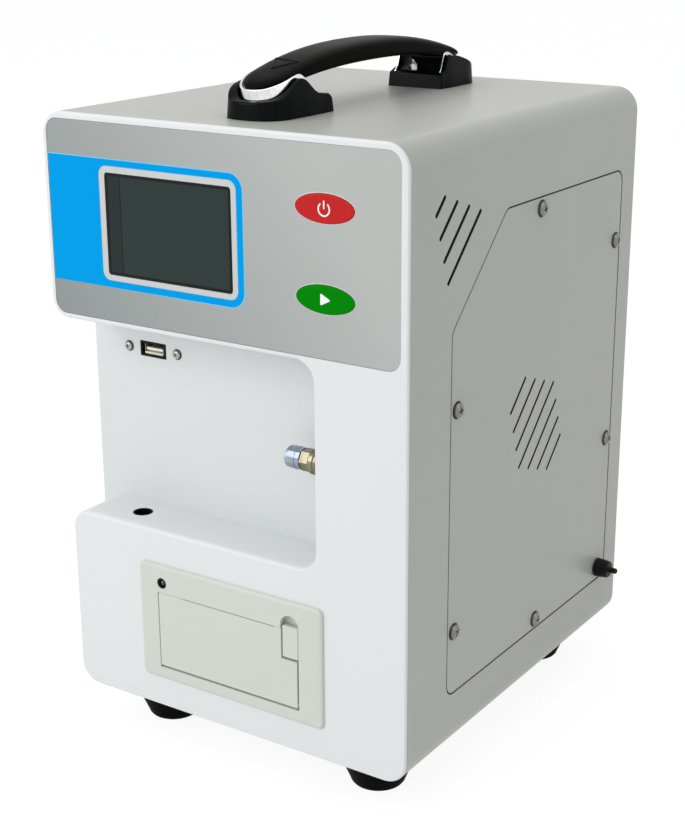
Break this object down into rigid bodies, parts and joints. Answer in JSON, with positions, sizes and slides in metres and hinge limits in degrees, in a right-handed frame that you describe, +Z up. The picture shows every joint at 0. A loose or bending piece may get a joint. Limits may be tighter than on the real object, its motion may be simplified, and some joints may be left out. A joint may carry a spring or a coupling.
{
  "type": "headspace gas analyzer",
  "caption": "Bench headspace gas analyzer with an open sample bay, display, two oval keys, panel printer, vented side panel and carrying handle.",
  "frame": {"origin": "bottom centre of the overall box, on the plane that the feet stand on", "axes": "+Z up, the front with the display faces -Y, +X to the right as seen from the front"},
  "size_m": [0.2018, 0.2164, 0.3248],
  "materials": {
    "fascia_white": "satin moulded",
    "case_paint": "fine textured paint",
    "overlay_grey": "satin printed film",
    "window_glass": "gloss",
    "key_red": "satin",
    "key_green": "satin",
    "board_green": "solder mask",
    "bright_steel": "bright plated",
    "supply_can": "bright",
    "nickel_brass": "nickel plated",
    "plated_nut": "bright plated",
    "printer_beige": "satin moulded",
    "lamp_lens": "gloss",
    "moulded_black": "satin moulded",
    "roller_rubber": "matt",
    "roll_paper": "matt",
    "foot_rubber": "matt",
    "handle_gloss": "gloss",
    "grip_satin": "satin",
    "collar_chrome": "polished",
    "pump_grey": "cast",
    "cell_white": "satin",
    "hose_clear": "translucent"
  },
  "bodies": {
    "case": {"front_fascia": "fascia_white", "control_overlay": "overlay_grey", "display_window": "window_glass", "display_module": "board_green", "key_board": "board_green", "usb_socket": "bright_steel", "usb_screw_left": "bright_steel", "usb_screw_right": "bright_steel", "needle_well": "moulded_black", "sample_port": "nickel_brass", "printer_frame": "printer_beige", "printer_lamp": "lamp_lens", "printer_housing": "moulded_black", "print_head": "moulded_black", "case_shell": "case_paint", "access_panel": "case_paint", "access_screw_1": "bright_steel", "access_screw_2": "bright_steel", "access_screw_3": "bright_steel", "access_screw_4": "bright_steel", "access_screw_5": "bright_steel", "access_screw_6": "bright_steel", "gas_outlet": "moulded_black", "foot_front_left": "foot_rubber", "foot_front_right": "foot_rubber", "foot_rear_left": "foot_rubber", "foot_rear_right": "foot_rubber", "handle_front_block": "handle_gloss", "handle_rear_block": "handle_gloss", "handle_front_collar": "collar_chrome", "handle_rear_collar": "collar_chrome", "handle_grip": "grip_satin", "rear_panel": "case_paint", "rear_screw_1": "bright_steel", "rear_screw_2": "bright_steel", "rear_screw_3": "bright_steel", "rear_screw_4": "bright_steel", "mains_inlet": "moulded_black", "fan_frame": "moulded_black", "fan_guard": "bright_steel", "fan_screw_1": "bright_steel", "fan_screw_2": "bright_steel", "fan_screw_3": "bright_steel", "fan_screw_4": "bright_steel", "main_board": "board_green", "power_supply": "supply_can", "gas_pump": "pump_grey", "oxygen_sensor": "cell_white", "sample_hose": "hose_clear"},
    "power_key": {"power_key": "key_red"},
    "test_key": {"test_key": "key_green"},
    "printer_door": {"printer_door": "printer_beige"},
    "platen": {"platen_roller": "roller_rubber"},
    "printer_latch": {"printer_latch": "printer_beige"},
    "paper_roll": {"paper_roll": "roll_paper"},
    "sample_nut": {"sample_nut": "plated_nut"},
    "rocker": {"rocker_switch": "moulded_black"},
    "fuse_drawer": {"fuse_drawer": "moulded_black"},
    "fan": {"fan_rotor": "moulded_black"}
  },
  "joints": [
    {"name": "power_key_press", "type": "slide", "parent": "case", "child": "power_key", "axis": [0, 1, 0], "range_m": [0, 0.0008], "stiffness_N_per_m": 400, "springref_m": -0.0008},
    {"name": "test_key_press", "type": "slide", "parent": "case", "child": "test_key", "axis": [0, 1, 0], "range_m": [0, 0.0008], "stiffness_N_per_m": 400, "springref_m": -0.0008},
    {"name": "printer_door_open", "type": "hinge", "parent": "case", "child": "printer_door", "pos_m": [-0.0049, -0.10645, 0.0449], "axis": [1, 0, 0], "range_deg": [0, 80]},
    {"name": "platen_spin", "type": "hinge", "parent": "printer_door", "child": "platen", "pos_m": [-0.00425, -0.09815, 0.0733], "axis": [1, 0, 0], "continuous": true},
    {"name": "printer_latch_pull", "type": "hinge", "parent": "case", "child": "printer_latch", "pos_m": [0.0302, -0.10575, 0.0685], "axis": [1, 0, 0], "range_deg": [0, 18], "stiffness_Nm_per_rad": 0.02, "springref_deg": -5.73},
    {"name": "paper_roll_spin", "type": "hinge", "parent": "case", "child": "paper_roll", "pos_m": [-0.00425, -0.07765, 0.05755], "axis": [1, 0, 0], "continuous": true},
    {"name": "sample_nut_turn", "type": "hinge", "parent": "case", "child": "sample_nut", "pos_m": [0.02455, -0.09265, 0.1556], "axis": [1, 0, 0], "continuous": true},
    {"name": "rocker_tilt", "type": "hinge", "parent": "case", "child": "rocker", "pos_m": [-0.03885, 0.10275, 0.1031], "axis": [1, 0, 0], "range_deg": [-18, 0]},
    {"name": "fuse_drawer_slide", "type": "slide", "parent": "case", "child": "fuse_drawer", "axis": [0, 1, 0], "range_m": [0, 0.011]},
    {"name": "fan_spin", "type": "hinge", "parent": "case", "child": "fan", "pos_m": [-0.03485, 0.09335, 0.2261], "axis": [0, 1, 0], "continuous": true}
  ],
  "couplings": [
    {"joint": "paper_roll_spin", "follows": "platen_spin", "ratio": 0.3077}
  ]
}
